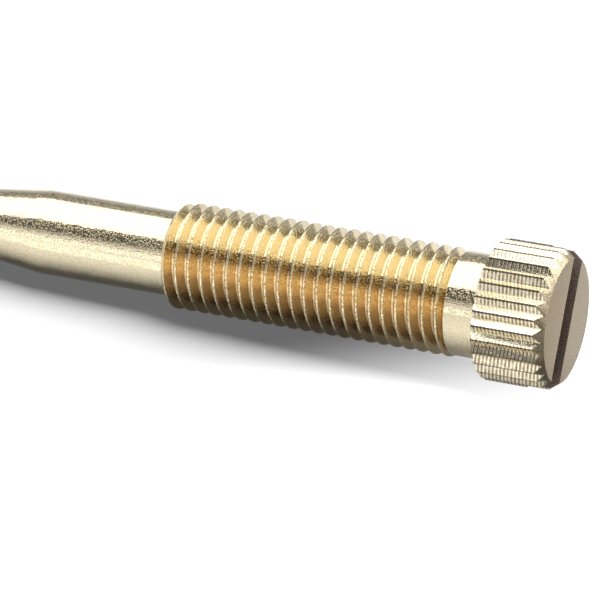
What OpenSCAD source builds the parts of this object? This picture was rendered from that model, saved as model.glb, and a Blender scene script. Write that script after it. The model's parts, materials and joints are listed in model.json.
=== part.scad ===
// Idle adjustment screw, turned in one piece from brass bar: a slotted head with a straight
// knurl, a plain collar, a fine M6 x 0.75 right-hand thread, a plain shank and a long taper.
// It lies as it comes to rest, head towards +X: two teeth of the knurl and the last full crest
// of the thread touch z = 0, and the taper hangs clear.

/* [Head] */
// Diameter over the teeth of the knurl
head_d = 7.6; // [7:0.1:9]
// Length of the head
head_len = 4; // [3:0.1:6]
// Diameter of the flat end face, inside its chamfer
face_d = 6.74; // [6:0.02:7]
// Length of the chamfer round the end face
face_chamfer_len = 0.58; // [0.2:0.02:1]
// Chamfer at the teeth's other end, beside the collar
under_chamfer = 0.15; // [0.05:0.05:0.3]

/* [Knurl] */
// Number of teeth round the head
tooth_count = 30; // [24:1:40]
// Depth of the V between two teeth
tooth_depth = 0.25; // [0.1:0.01:0.3]

/* [Driver slot] */
// Width of the slot
slot_w = 1.4; // [0.8:0.1:2]
// Depth of the slot below the end face
slot_depth = 1.5; // [0.8:0.1:2.4]
// Lean of the slot from upright, in degrees
slot_lean = 31; // [0:1:90]

/* [Collar] */
// Diameter of the plain collar between head and thread
collar_d = 5.6; // [5.2:0.1:6.4]
// Length of the collar
collar_len = 1.9; // [1:0.1:4]

/* [Thread] */
// Diameter over the thread's crests
thread_d = 5.86; // [5.6:0.02:6]
// Length of the thread
thread_len = 16.3; // [8:0.1:20]
// Pitch of the thread
thread_pitch = 0.75; // [0.6:0.05:1]
// Width of the flat on each crest
crest_flat = 0.13; // [0.05:0.01:0.2]
// Width of the flat at each root
root_flat = 0.1; // [0.05:0.01:0.2]
// Chamfer where the thread ends above the shank
thread_chamfer = 0.3; // [0.1:0.05:0.4]

/* [Shank and taper] */
// Diameter of the plain shank
shank_d = 4.6; // [3.6:0.1:4.8]
// Length of the shank
shank_len = 8.1; // [4:0.1:12]
// Length of the taper, nose included
taper_len = 9.7; // [5:0.1:11]
// Included angle of the taper
taper_angle = 14; // [6:1:16]
// Rounding at the edge of the nose
nose_round = 0.6; // [0.2:0.1:0.8]

/* [Hidden] */
$fn = 96;

// Stations along the screw, counted from the end face towards the nose
head_end = head_len;
body_start = (slot_depth + head_end) / 2; // within the head, below the slot
collar_end = head_end + collar_len;
thread_end = collar_end + thread_len;
shank_end = thread_end + shank_len;
nose_end = shank_end + taper_len;

head_r = head_d / 2;
face_r = face_d / 2;
collar_r = collar_d / 2;
crest_r = thread_d / 2;
shank_r = shank_d / 2;

// 60 degree thread form. The cutter runs in beside the collar, so the first groove is narrower
flank_angle = 30;
run_in = 2 / 3;
thread_depth = (thread_pitch - crest_flat - root_flat) / (2 * tan(flank_angle));
root_r = crest_r - thread_depth;
ridge_w = thread_pitch - root_flat;
first_ridge = collar_end + ridge_w * run_in;
ridge_count = ceil((thread_end + ridge_w / 2 - first_ridge) / thread_pitch);
full_ridges = 1 + floor((thread_end - thread_chamfer - crest_flat / 2 - first_ridge) / thread_pitch);
last_crest = first_ridge + (full_ridges - 1) * thread_pitch + crest_flat / 2;

// Nose: a round of nose_round that touches the cone and the flat end
taper_half = taper_angle / 2;
nose_s = nose_end - nose_round;
nose_touch_s = nose_s + nose_round * sin(taper_half);
nose_touch_r = shank_r - (nose_touch_s - shank_end) * tan(taper_half);
nose_r = nose_touch_r - nose_round * cos(taper_half);

// Rest: the tilt at which the teeth's lower ends and the next widest edge meet the floor
tooth_angle = 360 / tooth_count;
teeth_s = head_end - under_chamfer;
teeth_r = head_r * cos(tooth_angle / 2);
function tilt_to(s, r) = atan((teeth_r - r) / (s - teeth_s));
rest_tilt = min(tilt_to(last_crest, crest_r), tilt_to(shank_end, shank_r), tilt_to(nose_touch_s, nose_touch_r));
rest_height = teeth_s * sin(rest_tilt) + teeth_r * cos(rest_tilt);
// The turned faces begin a little way round from the top, so no edge of theirs runs along the floor
body_turn = tooth_angle / 6;
head_reach = face_r * sin(rest_tilt);
nose_reach = nose_s * cos(rest_tilt) + nose_r * sin(rest_tilt) + nose_round;

// Profiles are drawn as [radius, station], and turned about the screw's axis.
// Head blank, chamfered at both ends
module head_profile() {
    polygon([
        [0, 0],
        [face_r, 0],
        [head_r, face_chamfer_len],
        [head_r, head_end - under_chamfer],
        [head_r - under_chamfer, head_end],
        [0, head_end],
    ]);
}

// Section of the knurled head: a ring of V teeth, with a gap between two teeth underneath
module knurl_section() {
    polygon([
        for (i = [0 : 2 * tooth_count - 1])
            let (a = 180 + i * tooth_angle / 2, r = i % 2 == 0 ? head_r - tooth_depth : head_r)
                [r * cos(a), r * sin(a)]
    ]);
}

// Collar, from inside the head, with the first groove of the thread cut into its end
module collar_profile() {
    polygon([
        [0, body_start],
        [collar_r, body_start],
        [collar_r, collar_end],
        [root_r, collar_end + (collar_r - root_r) * tan(flank_angle)],
        [0, collar_end + (collar_r - root_r) * tan(flank_angle)],
    ]);
}

// Thread form: ridges of the true section at the true pitch, clipped by the chamfered blank
module thread_profile() {
    intersection() {
        polygon([
            [0, collar_end],
            for (i = [0 : ridge_count - 1], p = ridge_section(first_ridge + i * thread_pitch)) p,
            [0, first_ridge + ridge_count * thread_pitch],
        ]);
        polygon([
            [0, collar_end],
            [crest_r, collar_end],
            [crest_r, thread_end - thread_chamfer],
            [crest_r - thread_chamfer, thread_end],
            [0, thread_end],
        ]);
    }
}

// The four corners of one ridge, centred on station s
function ridge_section(s) = [
    [root_r, s - ridge_w / 2],
    [crest_r, s - crest_flat / 2],
    [crest_r, s + crest_flat / 2],
    [root_r, s + ridge_w / 2],
];

// Shank and taper down to the nose
module shank_profile() {
    polygon([
        [0, thread_end - thread_chamfer],
        [shank_r, thread_end - thread_chamfer],
        [shank_r, shank_end],
        [nose_touch_r, nose_touch_s],
        [nose_r, nose_s],
        [nose_r, nose_end],
        [0, nose_end],
    ]);
}

// Round at the edge of the nose
module nose_profile() {
    translate([nose_r, nose_s])
        intersection() {
            circle(r = nose_round);
            square(nose_round);
        }
}

module knurled_head() {
    difference() {
        intersection() {
            rotate_extrude() head_profile();
            linear_extrude(head_end) knurl_section();
        }
        rotate(slot_lean)
            translate([-head_r, -slot_w / 2, -slot_depth])
                cube([head_d, slot_w, 2 * slot_depth]);
    }
}

module body() {
    rotate(body_turn) rotate_extrude() {
        collar_profile();
        thread_profile();
        shank_profile();
        nose_profile();
    }
}

// The whole screw, laid from its own axis (+Z, from the end face to the nose) to its rest
module idle_screw() {
    color([0.80, 0.72, 0.52])
        translate([(nose_reach - head_reach) / 2, 0, rest_height])
            rotate([0, -90 - rest_tilt, 0]) {
                knurled_head();
                body();
            }
}

idle_screw();
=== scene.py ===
"""Idle adjustment screw: one turned brass piece, lying on its knurled head and its thread.

The screw is modelled upright at one unit a millimetre: its axis is Z, the slotted end face is at 0
and the nose points up. It is then laid down, scaled to metres and placed as in the solid model.
"""
import json
import math
import bpy
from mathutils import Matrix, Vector

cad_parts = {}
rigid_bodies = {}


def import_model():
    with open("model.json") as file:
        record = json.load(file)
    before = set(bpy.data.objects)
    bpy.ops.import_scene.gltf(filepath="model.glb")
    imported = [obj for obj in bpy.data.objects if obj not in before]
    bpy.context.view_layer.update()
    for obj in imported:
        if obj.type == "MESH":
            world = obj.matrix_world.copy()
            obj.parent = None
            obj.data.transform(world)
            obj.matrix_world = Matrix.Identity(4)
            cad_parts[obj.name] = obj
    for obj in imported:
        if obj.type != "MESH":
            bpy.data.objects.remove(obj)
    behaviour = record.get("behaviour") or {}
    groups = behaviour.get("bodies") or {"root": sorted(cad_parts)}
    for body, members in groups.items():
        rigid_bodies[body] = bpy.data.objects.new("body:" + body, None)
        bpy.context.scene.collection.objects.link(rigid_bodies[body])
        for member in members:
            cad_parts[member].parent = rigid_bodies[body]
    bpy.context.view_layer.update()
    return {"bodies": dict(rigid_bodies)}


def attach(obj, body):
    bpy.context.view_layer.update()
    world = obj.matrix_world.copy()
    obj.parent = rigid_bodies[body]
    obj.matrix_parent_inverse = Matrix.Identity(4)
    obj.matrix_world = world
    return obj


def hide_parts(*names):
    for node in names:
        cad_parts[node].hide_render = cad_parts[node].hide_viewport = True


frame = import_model()

# ---------------------------------------------------------------- sizes, in millimetres and radians
HEAD_R, HEAD_LEN = 3.8, 4.0
FACE_R, FACE_CHAMFER = 3.37, 0.58
UNDER_CHAMFER = 0.15
TEETH, TOOTH_DEPTH = 30, 0.31
VALLEY_TURN = math.radians(0.7)    # how far the bottoms of the Vs lie off the middle, so that the teeth lean
TIP_WEAR, EDGE_BREAK = 0.035, 0.03
SLOT_W, SLOT_DEPTH, SLOT_LEAN = 1.4, 1.5, math.radians(31)
BODY_START = (SLOT_DEPTH + HEAD_LEN) / 2    # inside the head, below the slot
COLLAR_R, COLLAR_END, COLLAR_ROUND = 2.8, 5.9, 0.04
CREST_R, PITCH, THREAD_END = 2.906, 0.75, 22.32
ROOT_R = 2.41
FLANK = math.radians(30)   # half of the thread's angle
CREST_FLAT = 0.09
CREST_ROUND = 0.02
THREAD_CHAMFER = 0.3
RUN_OUT = 0.35             # length of the last ridge that stands over the shank
RIDGE_FOOT = 0.06          # how deep the ridge is sunk into the core
FIRST_TURN = 4.9606        # station of the ridge straight above the axis, one turn inside the collar
TURNS = 24
SHANK_R, SHANK_END = 2.3, 30.3
NOSE_END, TAPER, NOSE_ROUND = 39.998, math.radians(7), 0.6    # half of the taper's angle
TAPER_RING = 0.4           # from the taper's start to the ring on either side of it
REST_TILT = math.radians(2.770445)
REST_PLACE = (0.0199095, 0.0, 0.0039608)    # centre of the end face at rest, in metres
METRES = 0.001             # metres in a millimetre
ROUND_STEPS = 144          # sides of a turned form
SMOOTH_BELOW = math.radians(15)    # below the turn of the worn tips, so that the teeth's flanks stay flat


# ---------------------------------------------------------------- modelling helpers
def take(obj):
    """Only obj is selected and active."""
    bpy.ops.object.select_all(action="DESELECT")
    obj.select_set(True)
    bpy.context.view_layer.objects.active = obj


def work_on(obj):
    """Only obj is selected, and it is in edit mode with nothing picked."""
    take(obj)
    bpy.ops.object.mode_set(mode="EDIT")
    bpy.ops.mesh.select_all(action="DESELECT")


def done():
    bpy.ops.object.mode_set(mode="OBJECT")


def pick(obj, kind, test):
    """Selects the vertices, edges or faces of obj that pass test(centre, normal). An edge gives its direction
    in place of a normal."""
    bpy.ops.mesh.select_mode(type=kind)
    bpy.ops.mesh.select_all(action="DESELECT")
    bpy.ops.object.mode_set(mode="OBJECT")
    mesh = obj.data
    if kind == "VERT":
        for v in mesh.vertices:
            v.select = test(v.co, v.normal)
    if kind == "EDGE":
        for e in mesh.edges:
            a, b = (mesh.vertices[i].co for i in e.vertices)
            e.select = test((a + b) / 2, (b - a).normalized())
    if kind == "FACE":
        for p in mesh.polygons:
            p.select = test(p.center, p.normal)
    bpy.ops.object.mode_set(mode="EDIT")


def apply_modifier(obj, kind, **settings):
    take(obj)
    made = obj.modifiers.new(kind.lower(), kind)
    for key, value in settings.items():
        setattr(made, key, value)
    bpy.ops.object.modifier_apply(modifier=made.name)


def combine(obj, other, how):
    """Cuts obj with other, or joins or clips it, and other is used up."""
    apply_modifier(obj, "BOOLEAN", operation=how, object=other, solver="EXACT")
    bpy.data.objects.remove(other)


def turned(name, profile):
    """A closed solid turned on the Z axis: a disc pulled from station to station and resized at each one.
    The profile is a list of (radius, station)."""
    radius, station = profile[0]
    bpy.ops.object.select_all(action="DESELECT")
    bpy.ops.mesh.primitive_circle_add(
        vertices=ROUND_STEPS, radius=radius, fill_type="NGON", location=(0, 0, station)
    )
    obj = bpy.context.active_object
    obj.name = name
    bpy.ops.object.transform_apply(location=True, rotation=True, scale=True)
    work_on(obj)
    bpy.ops.mesh.select_all(action="SELECT")
    for r, s in profile[1:]:
        bpy.ops.mesh.extrude_region_move(TRANSFORM_OT_translate={"value": (0, 0, s - station)})
        k = r / radius
        bpy.ops.transform.resize(value=(k, k, 1), center_override=(0, 0, s))
        radius, station = r, s
    bpy.ops.mesh.select_all(action="SELECT")
    bpy.ops.mesh.normals_make_consistent(inside=False)
    done()
    return obj


def rounded(corner, before, after, size):
    """Four points of a small round that starts and ends size away from a profile's corner."""
    c, b, a = (Vector(p) for p in (corner, before, after))
    start = c + (b - c).normalized() * size
    end = c + (a - c).normalized() * size
    return [
        tuple((1 - t) ** 2 * start + 2 * t * (1 - t) * c + t * t * end)
        for t in (0, 1 / 3, 2 / 3, 1)
    ]


# ---------------------------------------------------------------- the knurled head
def knurled_head():
    """A prism of V teeth, chamfered by the turned blank and crossed by the driver slot."""
    spare = 0.5    # the prism stands this far past the head at both ends
    bpy.ops.object.select_all(action="DESELECT")
    bpy.ops.mesh.primitive_cylinder_add(
        vertices=2 * TEETH, radius=HEAD_R, depth=HEAD_LEN + 2 * spare, location=(0, 0, HEAD_LEN / 2)
    )
    head = bpy.context.active_object
    head.name = "knurled_head"
    bpy.ops.object.transform_apply(location=True, rotation=True, scale=True)
    work_on(head)
    step = 360 / TEETH

    def from_valley(co):
        """How far round a place lies from the nearest V's bottom, from 0 to 0.5 teeth."""
        return abs((math.degrees(math.atan2(co.y, co.x)) / step + 0.5) % 1 - 0.5)

    # every second corner of the prism goes in, and becomes the bottom of a V
    pick(head, "VERT", lambda co, normal: from_valley(co) < 0.1)
    k = (HEAD_R - TOOTH_DEPTH) / HEAD_R
    bpy.ops.transform.resize(value=(k, k, 1), center_override=(0, 0, 0))
    bpy.ops.transform.rotate(value=VALLEY_TURN, orient_axis="Z", center_override=(0, 0, 0))
    # the tips of the teeth are a little worn
    pick(head, "EDGE", lambda co, way: abs(way.z) > 0.9 and from_valley(co) > 0.4)
    bpy.ops.mesh.bevel(offset=TIP_WEAR, segments=2, affect="EDGES")
    done()
    # both chamfers of the blank run on past the teeth
    slope = (HEAD_R - FACE_R) / FACE_CHAMFER
    front, back = FACE_CHAMFER + 0.6, 0.4
    blank = turned(
        "head_blank",
        [
            (FACE_R, 0.0),
            (FACE_R + slope * front, front),
            (HEAD_R + back, HEAD_LEN - UNDER_CHAMFER - back),
            (HEAD_R - UNDER_CHAMFER, HEAD_LEN),
        ],
    )
    combine(head, blank, "INTERSECT")
    bpy.ops.object.select_all(action="DESELECT")
    bpy.ops.mesh.primitive_cube_add(
        size=1,
        location=(0, 0, 0),
        scale=(3 * HEAD_R, SLOT_W, 2 * SLOT_DEPTH),
        rotation=(0, 0, SLOT_LEAN),
    )
    cutter = bpy.context.active_object
    bpy.ops.object.transform_apply(location=True, rotation=True, scale=True)
    combine(head, cutter, "DIFFERENCE")
    apply_modifier(
        head,
        "BEVEL",
        width=EDGE_BREAK,
        segments=2,
        limit_method="ANGLE",
        angle_limit=math.radians(40),
    )
    return head


# ---------------------------------------------------------------- collar, core, shank and taper
def turned_body():
    """The collar, the thread's core, the shank and the taper. Rings on the straight stretches keep the faces
    short."""
    first_root = COLLAR_END + (COLLAR_R - ROOT_R) * math.tan(FLANK)
    nose_s = NOSE_END - NOSE_ROUND
    touch_s = nose_s + NOSE_ROUND * math.sin(TAPER)
    touch_r = SHANK_R - (touch_s - SHANK_END) * math.tan(TAPER)
    nose_r = touch_r - NOSE_ROUND * math.cos(TAPER)
    nose = [
        (nose_r + NOSE_ROUND * math.cos(a), nose_s + NOSE_ROUND * math.sin(a))
        for a in (TAPER + (math.pi / 2 - TAPER) * i / 8 for i in range(9))
    ]
    profile = [(COLLAR_R, BODY_START), (COLLAR_R, 4.3), (COLLAR_R, 5.2)]
    profile += rounded((COLLAR_R, COLLAR_END), (COLLAR_R, HEAD_LEN), (ROOT_R, first_root), COLLAR_ROUND)
    profile += [(ROOT_R, first_root), (ROOT_R, THREAD_END - 0.5), (SHANK_R, THREAD_END - RUN_OUT)]
    profile += [(SHANK_R, THREAD_END + 2), (SHANK_R, SHANK_END - TAPER_RING), (SHANK_R, SHANK_END)]
    profile += [(SHANK_R - TAPER_RING * math.tan(TAPER), SHANK_END + TAPER_RING)]
    return turned("turned_body", profile + nose)


# ---------------------------------------------------------------- the thread
def thread_ridge():
    """One ridge of 60 degree section, wound on the core as a right-hand helix and clipped by the chamfered
    blank."""

    def half(radius):
        """Half the ridge's width at a radius."""
        return CREST_FLAT / 2 + (CREST_R - radius) * math.tan(FLANK)

    foot, root, shoulder = ROOT_R - RIDGE_FOOT, ROOT_R + CREST_ROUND, CREST_R - CREST_ROUND
    flank = [
        (foot, -half(foot)),
        (root, -half(root)),
        (shoulder, -half(shoulder)),
        (CREST_R - CREST_ROUND * 0.25, -half(CREST_R) - CREST_ROUND * 0.1),
        (CREST_R, -half(CREST_R) + CREST_ROUND * 0.7),
    ]
    section = flank + [(r, -s) for r, s in reversed(flank)]
    bpy.ops.object.select_all(action="DESELECT")
    bpy.ops.mesh.primitive_plane_add(size=1, location=(0, 0, 0))
    ridge = bpy.context.active_object
    ridge.name = "thread_ridge"
    work_on(ridge)
    bpy.ops.mesh.select_all(action="SELECT")
    bpy.ops.mesh.merge(type="CENTER")
    r, s = section[0]
    bpy.ops.mesh.select_mode(type="VERT")
    bpy.ops.mesh.select_all(action="SELECT")
    bpy.ops.transform.translate(value=(r, 0, FIRST_TURN + s))
    for next_r, next_s in section[1:]:
        bpy.ops.mesh.extrude_region_move(TRANSFORM_OT_translate={"value": (next_r - r, 0, next_s - s)})
        r, s = next_r, next_s
    # the open ends of the outline are joined under the ridge
    pick(
        ridge,
        "VERT",
        lambda co, normal: any(
            math.hypot(co.x - r, co.z - FIRST_TURN - s) < 1e-4 for r, s in (section[0], section[-1])
        ),
    )
    bpy.ops.mesh.edge_face_add()
    done()
    apply_modifier(
        ridge,
        "SCREW",
        axis="Z",
        angle=2 * math.pi,
        screw_offset=PITCH,
        iterations=TURNS,
        steps=ROUND_STEPS,
        render_steps=ROUND_STEPS,
        use_smooth_shade=False,
        use_merge_vertices=False,
    )
    work_on(ridge)
    bpy.ops.mesh.select_mode(type="VERT")
    bpy.ops.mesh.select_all(action="SELECT")
    bpy.ops.mesh.remove_doubles(threshold=1e-5)
    bpy.ops.mesh.select_all(action="DESELECT")
    # the helix is closed at both ends
    bpy.ops.mesh.select_non_manifold(
        use_boundary=True,
        use_wire=False,
        use_multi_face=False,
        use_non_contiguous=False,
        use_verts=False,
    )
    bpy.ops.mesh.edge_face_add()
    bpy.ops.mesh.select_all(action="SELECT")
    bpy.ops.mesh.normals_make_consistent(inside=False)
    done()
    clear = 0.3    # the blank stands this far off the crests
    blank = turned(
        "thread_blank",
        [
            (CREST_R + clear, COLLAR_END),
            (CREST_R + clear, THREAD_END - THREAD_CHAMFER - clear),
            (CREST_R - THREAD_CHAMFER, THREAD_END),
        ],
    )
    combine(ridge, blank, "INTERSECT")
    return ridge


def screw():
    """The whole screw in one mesh, still on its own axis."""
    body = turned_body()
    combine(body, thread_ridge(), "UNION")
    combine(body, knurled_head(), "UNION")
    body.name = "adjustment_screw"
    body.data.name = "adjustment_screw"
    return body


def lay_down(obj):
    """From its own axis to its rest on the floor, in metres, with its place in its mesh."""
    obj.scale = (METRES, METRES, METRES)
    obj.rotation_euler = (0, -math.pi / 2 - REST_TILT, 0)
    obj.location = REST_PLACE
    take(obj)
    bpy.ops.object.transform_apply(location=True, rotation=True, scale=True)


# ---------------------------------------------------------------- materials
def colour(code):
    """sRGB hex to linear RGBA."""
    parts = [int(code[i : i + 2], 16) / 255 for i in (1, 3, 5)]
    linear = [c / 12.92 if c <= 0.04045 else ((c + 0.055) / 1.055) ** 2.4 for c in parts]
    return (*linear, 1)


def node(mat, kind, links=None, **settings):
    """Adds a node. Settings name its properties. Links name or number its inputs, and feed each one with a
    socket, with another node's first output or with a plain value."""
    made = mat.node_tree.nodes.new("ShaderNode" + kind)
    for key, value in settings.items():
        setattr(made, key, value)
    for key, value in (links or {}).items():
        if isinstance(value, bpy.types.Node):
            value = value.outputs[0]
        if isinstance(value, bpy.types.NodeSocket):
            mat.node_tree.links.new(value, made.inputs[key])
        else:
            made.inputs[key].default_value = value
    return made


def new_material(name):
    mat = bpy.data.materials.new(name)
    mat.use_nodes = True
    mat.node_tree.nodes.clear()
    return mat


# Numbers of sockets whose names a node has more than once
FROM_START, FROM_END, TO_START, TO_END = 1, 2, 3, 4    # of a map range, whose input 0 is the value
MIX, UNDER, OVER, MIXED = 0, 6, 7, 2                   # of a mix of two colours, and its output

SPECK_LOW, SPECK_HIGH = 0.3, 0.7    # where nearly all of a noise lies
# heights where the thread's flanks turn paler as a painted highlight at the top, and darker as painted shade
# below
TOP_LIGHT_FROM, TOP_LIGHT_FULL = 1.2, 1.9        # height above the axis
UNDER_SHADE_FROM, UNDER_SHADE_FULL = 0.75, -0.1    # height above the axis
LADDER_MM, TICK_DEPTH = 0.209, 0.012       # from tick to tick, and how deep a tick is pressed
WOBBLE_MM = 0.3                            # size of the patches in which the ticks are fainter
# between these heights the ticks' painted shade fades on the top teeth
TOP_FROM, TOP_FULL = 3.3, 3.7              # height above the axis where the ladder fades on the top teeth
EDGE_AT = 0.56                             # makes the count of teeth whole at their edges
# colour of the ticks, shown as painted shade where the teeth face down, and of the painted shadow line under
# each ridge
TICK, RIDGE_SHADOW = "#75643f", "#3a3022"


def on_the_screw(mat):
    """Places on the screw's own axes, in millimetres: x up, y across, z the station from the end face."""
    return node(
        mat,
        "Mapping",
        {
            "Vector": node(mat, "TexCoord").outputs["Object"],
            "Location": REST_PLACE,
            "Rotation": (0, -math.pi / 2 - REST_TILT, 0),
            "Scale": (METRES, METRES, METRES),
        },
        vector_type="TEXTURE",
    )


def paint_light_and_shade(mat, at, tint, painted_top_light, painted_under_shade):
    """The colour tint goes paler near the top of the screw as a painted highlight, and darker on its lower
    half as painted shade.
    """
    up = node(mat, "SeparateXYZ", {"Vector": at}).outputs["X"]
    for start, full, tone in (
        (TOP_LIGHT_FROM, TOP_LIGHT_FULL, painted_top_light),
        (UNDER_SHADE_FROM, UNDER_SHADE_FULL, painted_under_shade),
    ):
        share = node(
            mat,
            "MapRange",
            {0: up, FROM_START: start, FROM_END: full},
            interpolation_type="SMOOTHSTEP",
        )
        tint = node(
            mat, "Mix", {MIX: share, UNDER: tint, OVER: colour(tone)}, data_type="RGBA"
        ).outputs[MIXED]
    return tint


def ladder(mat, at):
    """Two masks for the knurled teeth: the ticks that the wheel pressed across them, darkened as painted
    shade mainly on the flanks that face down and on the lower half, and a painted shadow line along each
    edge."""
    place = node(mat, "SeparateXYZ", {"Vector": at}).outputs
    turns = node(mat, "Math", {0: place["Z"], 1: 2 * math.pi / LADDER_MM}, operation="MULTIPLY")
    wave = node(mat, "Math", {0: turns}, operation="SINE")
    wobble = node(mat, "TexNoise", {"Vector": at, "Scale": 1 / WOBBLE_MM, "Detail": 0.0})
    # the place round the head, counted in teeth from an edge
    angle = node(mat, "Math", {0: place["Y"], 1: place["X"]}, operation="ARCTAN2")
    count = node(mat, "Math", {0: angle, 1: -TEETH / (2 * math.pi)}, operation="MULTIPLY")
    count = node(mat, "Math", {0: count, 1: EDGE_AT}, operation="ADD")
    teeth = node(mat, "Math", {0: count}, operation="FRACT")
    masks = {}
    for name, value, start, end, at_start, at_end, how in (
        ("pressed", wave, -0.35, 0.5, 0.0, 1.0, "SMOOTHSTEP"),
        ("patchy", wobble, 0.3, 0.55, 0.55, 1.0, "LINEAR"),
        ("facing down", teeth, 0.5, 0.6, 1.0, 0.12, "SMOOTHSTEP"),
        ("lower half", place["X"], -0.5, 0.1, 1.0, 0.0, "SMOOTHSTEP"),
        ("below the top", place["X"], TOP_FROM, TOP_FULL, 1.0, 0.35, "LINEAR"),
        ("line starts", teeth, 0.0, 0.04, 0.0, 1.0, "SMOOTHSTEP"),
        ("line ends", teeth, 0.12, 0.18, 1.0, 0.0, "SMOOTHSTEP"),
    ):
        masks[name] = node(
            mat,
            "MapRange",
            {0: value, FROM_START: start, FROM_END: end, TO_START: at_start, TO_END: at_end},
            interpolation_type=how,
        )
    # the ticks show mainly on the flanks that face down, and all round the lower half, as painted shade, and
    # fade on the top teeth
    clear = node(mat, "Math", {0: masks["facing down"], 1: masks["lower half"]}, operation="MAXIMUM")
    tick = masks["pressed"]
    for mask in (masks["patchy"], clear, masks["below the top"]):
        tick = node(mat, "Math", {0: tick, 1: mask}, operation="MULTIPLY")
    # a painted shadow line just under each ridge, on the flank that faces down
    line = node(mat, "Math", {0: masks["line starts"], 1: masks["line ends"]}, operation="MULTIPLY")
    return tick, line


def brass(
    name, base, worn, roughness, speck_mm, speck_height, knurled=False, painted_top_light=None, painted_under_shade=None
):
    """Bright brass: two tones in fine specks, and a grain that breaks up reflections. A thread's flank also
    gets a painted highlight at the top and painted shade below, and knurled teeth have a ladder of ticks,
    shown darker as painted shade on the flanks that face down and on the lower half, and a painted shadow
    line under each ridge."""
    mat = new_material(name)
    at = on_the_screw(mat)
    specks = node(
        mat, "TexNoise", {"Vector": at, "Scale": 1 / speck_mm, "Detail": 0.5, "Roughness": 0.5}
    )
    tone = node(mat, "MapRange", {0: specks, FROM_START: 0.35, FROM_END: SPECK_HIGH})
    tint = node(
        mat, "Mix", {MIX: tone, UNDER: colour(base), OVER: colour(worn)}, data_type="RGBA"
    ).outputs[MIXED]
    height = node(
        mat,
        "MapRange",
        {0: specks, FROM_START: 0.5, FROM_END: 0.72, TO_END: speck_height},
        interpolation_type="SMOOTHSTEP",
    )
    # painted highlight at the top of the thread's flanks, and painted shade below
    if painted_under_shade:
        tint = paint_light_and_shade(mat, at, tint, painted_top_light, painted_under_shade)
    if knurled:
        tick, line = ladder(mat, at)
        # painted shade in the ticks, and a painted shadow line under each ridge
        for mask, share, dark in ((tick, 0.8, TICK), (line, 0.9, RIDGE_SHADOW)):
            cover = node(mat, "Math", {0: mask, 1: share}, operation="MULTIPLY")
            tint = node(
                mat, "Mix", {MIX: cover, UNDER: tint, OVER: colour(dark)}, data_type="RGBA"
            ).outputs[MIXED]
        pressed = node(mat, "Math", {0: tick, 1: TICK_DEPTH}, operation="MULTIPLY")
        height = node(mat, "Math", {0: height, 1: pressed}, operation="SUBTRACT")
    # heights are in millimetres
    bump = node(mat, "Bump", {"Height": height, "Strength": 1.0, "Distance": METRES})
    gloss = node(
        mat,
        "MapRange",
        {
            0: specks,
            FROM_START: SPECK_LOW,
            FROM_END: SPECK_HIGH,
            TO_START: roughness * 0.85,
            TO_END: roughness * 1.25,
        },
    )
    shader = node(
        mat,
        "BsdfPrincipled",
        {"Base Color": tint, "Metallic": 1.0, "Roughness": gloss, "Normal": bump},
    )
    node(mat, "OutputMaterial", {"Surface": shader})
    return mat


# Turned and barrel-polished brass: pale, with reflections that a fine grain breaks up at their edges
PALE = brass("brass_turned_polished", "#eee2c6", "#dccda6", 0.09, 0.075, 0.0065)
# Cut brass of the thread's flanks: yellow gold, paler at the top as a painted highlight and darker below as
# painted shade
GOLD = brass(
    "brass_thread_cut", "#e6cda0", "#d6b884", 0.1, 0.08, 0.006, painted_top_light="#d6c7a2", painted_under_shade="#bfa67e"
)
# Thread crests: rubbed bright, with small burrs
CREST = brass("brass_crest_rubbed", "#f6e8c6", "#a8905e", 0.22, 0.08, 0.01)
# Knurled teeth: pressed by the knurling wheel, which leaves a fine ladder across the flanks, darkened as
# painted shade where the teeth face down and on the lower half, with a painted shadow line under each ridge
KNURL = brass("brass_knurled", "#f1e8d3", "#e3d6b6", 0.14, 0.08, 0.005, knurled=True)
# Chamfer of the head: turned after knurling, dull, and darker all round as painted shade
DULL = brass("brass_chamfer_dull", "#cfc1a2", "#9a8c72", 0.25, 0.08, 0.008)
# End face: faced with a tool and left satin
FACED = brass("brass_faced_satin", "#92846c", "#897a62", 0.4, 0.1, 0.004)
# Slot: sawn and stained dark, where no polishing reaches
SAWN = brass("brass_sawn_stained", "#8e7f73", "#75665b", 0.5, 0.1, 0.02)
FINISHES = [PALE, GOLD, CREST, KNURL, FACED, SAWN, DULL]


def finish_at(c, n):
    """The finish of a face, by its centre and its normal on the screw's own axes."""
    r = math.hypot(c.x, c.y)
    across = abs(c.y * math.cos(SLOT_LEAN) - c.x * math.sin(SLOT_LEAN))
    hair = 0.01
    if c.z < 2 * hair and n.z < -0.9:
        return FACED
    if EDGE_BREAK < c.z < SLOT_DEPTH + hair and across < SLOT_W / 2 + hair:
        return SAWN
    if c.z < HEAD_LEN and r > FACE_R - 0.2:
        return DULL if n.z < -0.3 and c.z < 1 else KNURL
    if COLLAR_END - hair < c.z < THREAD_END:
        if c.z > THREAD_END - RUN_OUT and n.z > 0.5 and r > SHANK_R:
            return PALE
        return CREST if r > CREST_R - CREST_ROUND else GOLD
    return PALE


def paint(obj):
    """Gives each face its finish. Called before the screw is laid down."""
    obj.data.materials.clear()
    for mat in FINISHES:
        obj.data.materials.append(mat)
    for p in obj.data.polygons:
        p.material_index = FINISHES.index(finish_at(p.center, p.normal))


body = screw()
paint(body)
lay_down(body)
bpy.ops.object.shade_smooth_by_angle(angle=SMOOTH_BELOW)
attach(body, "idle_adjustment_screw" if "idle_adjustment_screw" in frame["bodies"] else "root")
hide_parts("idle_screw")
body.visible_diffuse = False    # light off the brass doesn't tint the paper


# ---------------------------------------------------------------- floor, lights and camera
bpy.ops.mesh.primitive_plane_add(size=1.2, location=(0, 0, 0))
floor = bpy.context.active_object
floor.name = "floor"
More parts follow.
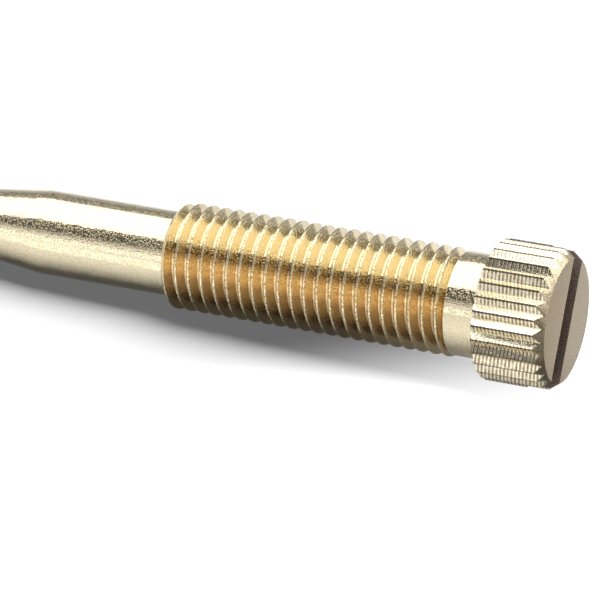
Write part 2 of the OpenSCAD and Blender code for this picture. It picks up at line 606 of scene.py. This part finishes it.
# Matt white paper. The lamp leaves it a little under white, so it also glows a little for the eye, and more
# beyond the head's near corner: a painted pool of light that pales the shadow there. Shiny metal sees it glow
# too, a painted reflection that is brightest beside the head. Both run over distances in metres.
paper = new_material("white_paper")
matt = node(paper, "BsdfDiffuse", {"Color": (0.88, 0.88, 0.88, 1)})
path = node(paper, "LightPath").outputs
spot = node(paper, "TexCoord").outputs["Object"]
# painted pool of light for the eye, beyond the head's near corner, that pales the shadow there
corner = node(paper, "VectorMath", {0: spot, 1: (1, -1, 0)}, operation="DOT_PRODUCT").outputs["Value"]
corner = node(
    paper,
    "MapRange",
    {0: corner, FROM_START: 0.0055, FROM_END: 0.0222, TO_START: 0.1, TO_END: 1.0},
    interpolation_type="SMOOTHSTEP",
)
# painted reflection for shiny metal: the floor glows more towards the head
beside = node(
    paper,
    "MapRange",
    {
        0: node(paper, "SeparateXYZ", {"Vector": spot}).outputs["X"],
        FROM_START: 0.008,
        FROM_END: 0.02,
        TO_START: 0.05,
        TO_END: 0.4,
    },
    interpolation_type="SMOOTHSTEP",
)
shiny = node(
    paper, "Math", {0: path["Is Glossy Ray"], 1: path["Is Transmission Ray"]}, operation="MAXIMUM"
)
for_eye = node(paper, "Math", {0: path["Is Camera Ray"], 1: corner}, operation="MULTIPLY")
glow = node(paper, "Math", {0: shiny, 1: beside, 2: for_eye}, operation="MULTIPLY_ADD")
lift = node(paper, "Emission", {"Color": (1, 1, 1, 1), "Strength": glow})
both = node(paper, "AddShader", {0: matt, 1: lift})
node(paper, "OutputMaterial", {"Surface": both})
floor.data.materials.append(paper)


AXIS_HEIGHT = 0.003    # of the screw over the floor, in metres


def unseen(obj):
    """Hides a stage piece from the camera and from the paper: only shiny metal sees it."""
    obj.visible_camera = False
    obj.visible_diffuse = False
    obj.visible_shadow = False


def plain_card(name, grey, place, size, turn=0.0):
    """A card that glows in a plain grey, turned about X from lying flat."""
    bpy.ops.mesh.primitive_plane_add(size=1, location=place, rotation=(turn, 0, 0))
    obj = bpy.context.active_object
    obj.name = name
    obj.scale = (*size, 1)
    mat = new_material(name + "_grey")
    glow = node(mat, "Emission", {"Color": (grey, grey, grey, 1), "Strength": 1.0})
    node(mat, "OutputMaterial", {"Surface": glow})
    obj.data.materials.append(mat)
    unseen(obj)


def card(name, grey, low, high, away, x, length):
    """A card along the screw, away from its axis, that spans the angles low to high in degrees, counted from
    straight up towards the camera's side."""
    middle = math.radians((low + high) / 2)
    height = 2 * away * math.tan(math.radians(high - low) / 2)
    place = (x, -away * math.sin(middle), AXIS_HEIGHT + away * math.cos(middle))
    plain_card(name, grey, place, (length, height), middle)


def softbox(name, place, size, power):
    """A soft lamp aimed at the origin, which lights the paper. The metal sees the cards instead of it."""
    data = bpy.data.lights.new(name, "AREA")
    data.shape = "RECTANGLE"
    data.size, data.size_y = size
    data.energy = power
    data.cycles.use_multiple_importance_sampling = False
    obj = bpy.data.objects.new(name, data)
    bpy.context.scene.collection.objects.link(obj)
    obj.location = place
    obj.rotation_euler = (-Vector(place)).to_track_quat("-Z", "Y").to_euler()
    obj.visible_glossy = False
    obj.visible_camera = False


# what the sides of the screw see, from behind over the top to the near table: two dim walls, a white ceiling,
# the dark gap round the camera and the bright table
card("card_ceiling", 2.3, -42, 31, 0.5, -0.1, 1.3)
card("card_wall_high", 0.22, -72, -42, 0.45, -0.29, 0.56)
card("card_wall_low", 0.42, -90, -72, 0.45, -0.29, 0.56)
card("card_camera_gap", 0.1, 31, 60, 0.3, -0.2, 0.42)
card("card_below_camera", 0.45, 60, 68, 0.3, -0.2, 0.42)
card("card_table_edge", 0.95, 68, 77, 0.3, -0.2, 0.42)
card("card_table_far", 1.45, 77, 91, 0.3, -0.2, 0.42)
card("card_table_near", 1.45, 91, 111, 0.0085, -0.09, 0.2)
# what the head's end and the flanks that face it see: the room and the table on the right
plain_card("card_right_dark", 0.22, (0.3, -0.2, 0.075), (0.36, 0.15), math.pi / 2)
plain_card("card_right_table", 0.3, (0.17, -0.1, 0.0003), (0.3, 0.19))
plain_card("card_right_bright", 2.5, (0.31, 0.4, 0.4), (0.6, 0.5), math.pi / 2)
plain_card("card_back_table", 0.5, (0.35, 0.25, 0.0004), (0.6, 0.33))
plain_card("card_right_low", 0.36, (0.4, 0.42, 0.065), (0.8, 0.15), math.pi / 2)
# a dark sheet on the table just in front of the head, seen only in reflections: painted shade for the head to
# reflect
plain_card("card_front_of_head", 0.14, (0.0275, -0.0085, 0.0002), (0.015, 0.015))
# the main lamp, above and a little behind, throws the soft shadow towards the camera
softbox("softbox_key", (0.03, 0.15, 0.48), (0.48, 0.48), 3.5)

world = bpy.data.worlds.new("studio")
bpy.context.scene.world = world
world.use_nodes = True
world.node_tree.nodes.clear()
# white to the eye and to shiny surfaces, and a dim light on everything else
path = node(world, "LightPath").outputs
seen = path["Is Camera Ray"]
for other in ("Is Glossy Ray", "Is Transmission Ray"):
    seen = node(world, "Math", {0: seen, 1: path[other]}, operation="MAXIMUM")
strength = node(world, "MapRange", {0: seen, TO_START: 0.05, TO_END: 1.0})
white = node(world, "Background", {"Color": (1, 1, 1, 1), "Strength": strength})
node(world, "OutputWorld", {"Surface": white})

# a long lens, above and to the right of the front
view = bpy.data.cameras.new("camera")
view.lens, view.sensor_width = 272.96, 36.0
view.clip_start, view.clip_end = 0.01, 10
camera = bpy.data.objects.new("camera", view)
bpy.context.scene.collection.objects.link(camera)
camera.location = (0.0891254, -0.1988797, 0.1161731)
camera.rotation_euler = tuple(math.radians(a) for a in (62.08219, -1.06380, 23.56206))
bpy.context.scene.camera = camera
bpy.context.scene.view_settings.view_transform = "Standard"
